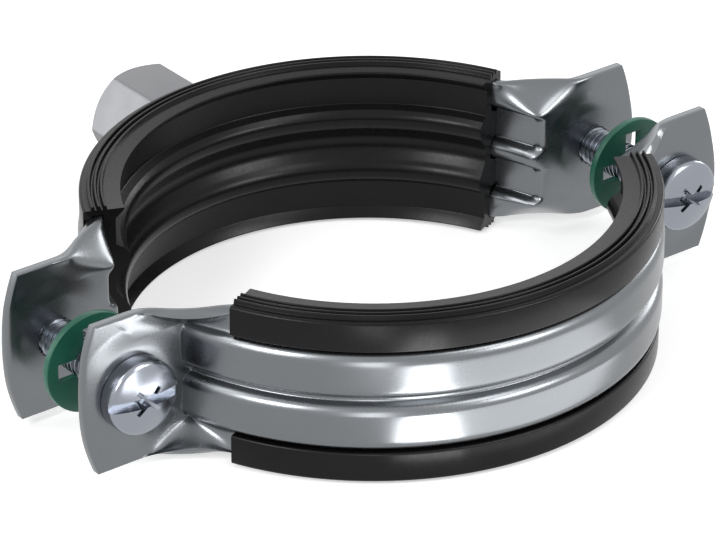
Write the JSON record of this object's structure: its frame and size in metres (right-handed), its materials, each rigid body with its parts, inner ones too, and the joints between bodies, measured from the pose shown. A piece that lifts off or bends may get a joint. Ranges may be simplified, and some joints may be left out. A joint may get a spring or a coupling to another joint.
{
  "type": "rubber lined pipe clamp",
  "caption": "Screwed pipe clamp with ribbed steel band halves, moulded rubber lining, plastic screw retainers and a tapped connection nut",
  "frame": {"origin": "on the pipe axis, half way across the width of the band", "axes": "+Z along the pipe, +X towards the right pair of ears, +Y towards the half with the connection nut"},
  "size_m": [0.0996, 0.0886, 0.0226],
  "materials": {
    "zinc_steel": "zinc plated pressing, satin",
    "lining_rubber": "matt black",
    "nut_steel": "zinc plated, satin",
    "screw_steel": "zinc plated, bright",
    "green_plastic": "dark green, semi matt"
  },
  "bodies": {
    "rear_half": {"rear_band": "zinc_steel", "rear_lining": "lining_rubber", "connection_nut": "nut_steel"},
    "front_half": {"front_band": "zinc_steel", "front_lining": "lining_rubber"},
    "screw_left": {"screw_left": "screw_steel"},
    "screw_right": {"screw_right": "screw_steel"},
    "washer_left": {"retainer_washer_left": "green_plastic"},
    "washer_right": {"retainer_washer_right": "green_plastic"}
  },
  "joints": [
    {"name": "front_half_slide", "type": "slide", "parent": "rear_half", "child": "front_half", "axis": [0, 1, 0], "range_m": [-0.006, 0.0133]},
    {"name": "screw_left_turn", "type": "hinge", "parent": "front_half", "child": "screw_left", "pos_m": [-0.0428, -0.00932, 0], "axis": [0, 1, 0], "range_deg": [-2702, 5988]},
    {"name": "screw_right_turn", "type": "hinge", "parent": "front_half", "child": "screw_right", "pos_m": [0.0428, -0.00932, 0], "axis": [0, 1, 0], "range_deg": [-2702, 5988]},
    {"name": "washer_left_slide", "type": "slide", "parent": "rear_half", "child": "washer_left", "axis": [0, 1, 0], "range_m": [-0.00296, 0.00656]},
    {"name": "washer_right_slide", "type": "slide", "parent": "rear_half", "child": "washer_right", "axis": [0, 1, 0], "range_m": [-0.00296, 0.00656]}
  ],
  "couplings": [
    {"joint": "screw_left_turn", "follows": "front_half_slide", "rad_per_m": 7854},
    {"joint": "screw_right_turn", "follows": "front_half_slide", "rad_per_m": 7854},
    {"joint": "washer_left_slide", "follows": "front_half_slide", "ratio": 0.4924},
    {"joint": "washer_right_slide", "follows": "front_half_slide", "ratio": 0.4924}
  ]
}
